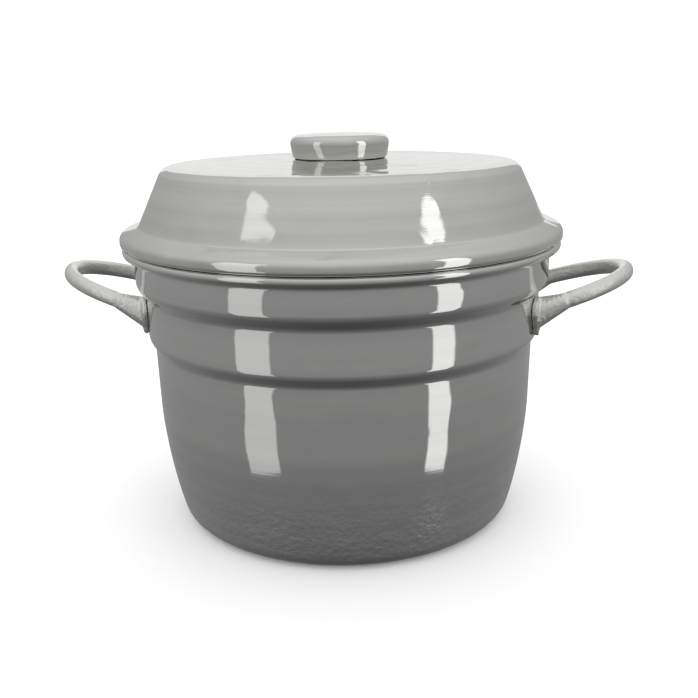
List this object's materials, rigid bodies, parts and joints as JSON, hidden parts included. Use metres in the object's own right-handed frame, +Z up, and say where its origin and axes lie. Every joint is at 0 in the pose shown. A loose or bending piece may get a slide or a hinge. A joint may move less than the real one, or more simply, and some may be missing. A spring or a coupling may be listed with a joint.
{
  "type": "canning pot",
  "caption": "Tall stepped aluminium canning pot with loop handles, a raised lid with a hollow knob, a lift-out jar rack and a steam tray with folding bails.",
  "frame": {"origin": "centre of the bottom of the flat base, on the surface that the pot stands on", "axes": "+Z up along the pot's axis, +X towards the right handle, -Y towards the viewer"},
  "size_m": [0.3992, 0.3004, 0.2634],
  "materials": {
    "polished_aluminium": "polished, spun",
    "cast_aluminium": "satin, sand cast",
    "aluminium_rivet": "satin",
    "turned_aluminium": "turned",
    "mill_aluminium": "mill, matt",
    "stainless_steel": "bright drawn"
  },
  "bodies": {
    "pot": {"pot_shell": "polished_aluminium", "handle_left": "cast_aluminium", "handle_right": "cast_aluminium", "handle_rivets_left": "aluminium_rivet", "handle_rivets_right": "aluminium_rivet"},
    "lid": {"lid_shell": "polished_aluminium", "lid_knob": "polished_aluminium", "knob_pillar": "turned_aluminium", "knob_screw": "stainless_steel", "knob_washer": "stainless_steel"},
    "rack": {"jar_rack": "mill_aluminium", "rack_feet": "turned_aluminium", "rack_foot_rivets": "aluminium_rivet", "rack_bail_lugs": "mill_aluminium", "rack_lug_rivets": "aluminium_rivet"},
    "rack_bail_left": {"rack_bail_left": "stainless_steel"},
    "rack_bail_right": {"rack_bail_right": "stainless_steel"},
    "tray": {"steam_tray": "mill_aluminium", "tray_bail_lugs": "mill_aluminium", "tray_lug_rivets": "aluminium_rivet"},
    "tray_bail_left": {"tray_bail_left": "stainless_steel"},
    "tray_bail_right": {"tray_bail_right": "stainless_steel"}
  },
  "joints": [
    {"name": "lid_lift", "type": "slide", "parent": "pot", "child": "lid", "axis": [0, 0, 1], "range_m": [0, 0.15]},
    {"name": "rack_lift", "type": "slide", "parent": "pot", "child": "rack", "axis": [0, 0, 1], "range_m": [0, 0.06]},
    {"name": "tray_lift", "type": "slide", "parent": "pot", "child": "tray", "axis": [0, 0, 1], "range_m": [0, 0.018]},
    {"name": "rack_bail_left_fold", "type": "hinge", "parent": "rack", "child": "rack_bail_left", "pos_m": [-0.1019, 0, 0.0231], "axis": [0, 1, 0], "range_deg": [0, 96]},
    {"name": "rack_bail_right_fold", "type": "hinge", "parent": "rack", "child": "rack_bail_right", "pos_m": [0.1019, 0, 0.0231], "axis": [0, -1, 0], "range_deg": [0, 96]},
    {"name": "tray_bail_left_lift", "type": "hinge", "parent": "tray", "child": "tray_bail_left", "pos_m": [-0.112, 0, 0.16639], "axis": [0, -1, 0], "range_deg": [0, 100]},
    {"name": "tray_bail_right_lift", "type": "hinge", "parent": "tray", "child": "tray_bail_right", "pos_m": [0.112, 0, 0.16639], "axis": [0, 1, 0], "range_deg": [0, 100]}
  ]
}
